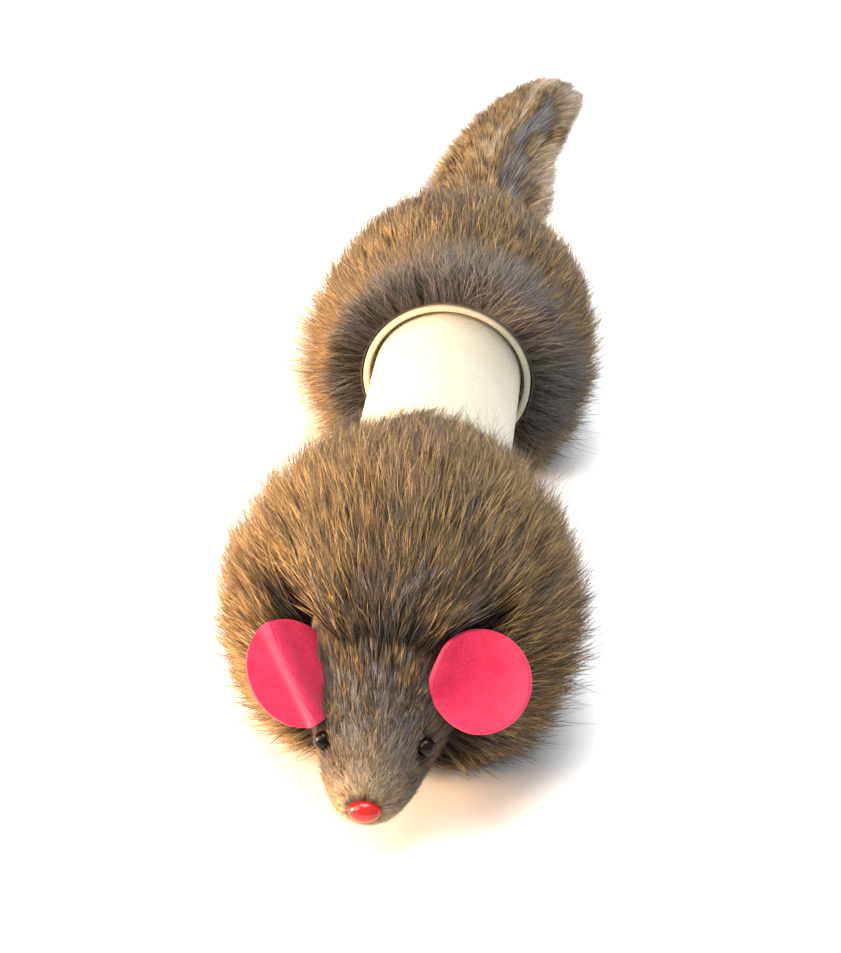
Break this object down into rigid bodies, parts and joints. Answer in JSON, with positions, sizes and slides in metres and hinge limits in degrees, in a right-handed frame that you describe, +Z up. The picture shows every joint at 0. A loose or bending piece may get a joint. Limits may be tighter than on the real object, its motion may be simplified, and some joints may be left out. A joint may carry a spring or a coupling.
{
  "type": "pull-apart clockwork mouse toy",
  "caption": "Fur-covered toy mouse in two halves on a telescoping card tube; pulling them apart winds a cord motor that shakes it back together.",
  "frame": {"origin": "on the flat underside of the front half, straight below the tube's axis at the middle of the front fur body", "axes": "+Y along the tube towards the tail, -Y to the nose, +Z up, +X to the mouse's left"},
  "size_m": [0.077, 0.2981, 0.0645],
  "materials": {
    "cream_card": "soft matt, faintly fuzzy",
    "grey_card": "matt",
    "plug_wood": "raw",
    "agouti_fur": "rabbit-like fur, tan and slate with dark tips",
    "grey_fur": "short taupe fur",
    "head_foam": "moulded foam",
    "red_gloss": "glossy",
    "dark_bead": "glossy",
    "pink_felt": "felt",
    "case_plastic": "moulded",
    "steel": "bright",
    "spring_steel": "blued",
    "brass": "satin",
    "cord_thread": "braided",
    "gear_plastic": "moulded",
    "weight_metal": "dull"
  },
  "bodies": {
    "front_half": {"inner_tube": "cream_card", "guide_ring": "grey_card", "front_plug": "plug_wood", "front_pelt": "agouti_fur", "head_form": "head_foam", "head_pelt": "grey_fur", "nose": "red_gloss", "eye_left": "dark_bead", "eye_right": "dark_bead", "ear_left": "pink_felt", "ear_right": "pink_felt", "motor_case_left": "case_plastic", "motor_case_right": "case_plastic", "case_screws": "steel", "mounting_screws": "steel", "spool_axle": "steel", "layshaft_axle": "steel", "mainspring": "spring_steel", "cord_eyelet": "brass", "pull_cord": "cord_thread"},
    "spool": {"cord_spool": "gear_plastic"},
    "intermediate": {"intermediate_gear": "gear_plastic"},
    "eccentric": {"eccentric_axle": "steel", "eccentric_pinion": "gear_plastic", "eccentric_weight": "weight_metal"},
    "rear_half": {"outer_sleeve": "cream_card", "collar_ring": "grey_card", "rear_plug": "plug_wood", "cord_anchor": "brass", "rear_pelt": "agouti_fur"},
    "tail": {"tail_pelt": "agouti_fur"}
  },
  "joints": [
    {"name": "rear_slide", "type": "slide", "parent": "front_half", "child": "rear_half", "axis": [0, 1, 0], "range_m": [-0.036, 0.004], "deforming": ["pull_cord"]},
    {"name": "spool_spin", "type": "hinge", "parent": "front_half", "child": "spool", "pos_m": [0, 0.0155, 0.026], "axis": [1, 0, 0], "range_deg": [-36, 314]},
    {"name": "intermediate_spin", "type": "hinge", "parent": "front_half", "child": "intermediate", "pos_m": [0, 0.00325, 0.026], "axis": [1, 0, 0], "range_deg": [-904, 102]},
    {"name": "eccentric_spin", "type": "hinge", "parent": "front_half", "child": "eccentric", "pos_m": [0, -0.0083, 0.026], "axis": [1, 0, 0], "range_deg": [-269, 2409]},
    {"name": "tail_sway", "type": "hinge", "parent": "rear_half", "child": "tail", "pos_m": [0.002, 0.166, 0.032], "axis": [0, 0, 1], "range_deg": [-20, 20], "stiffness_Nm_per_rad": 0.01}
  ],
  "couplings": [
    {"joint": "spool_spin", "follows": "rear_slide", "rad_per_m": -151.52},
    {"joint": "intermediate_spin", "follows": "rear_slide", "rad_per_m": 437.71},
    {"joint": "eccentric_spin", "follows": "rear_slide", "rad_per_m": -1167.2}
  ]
}
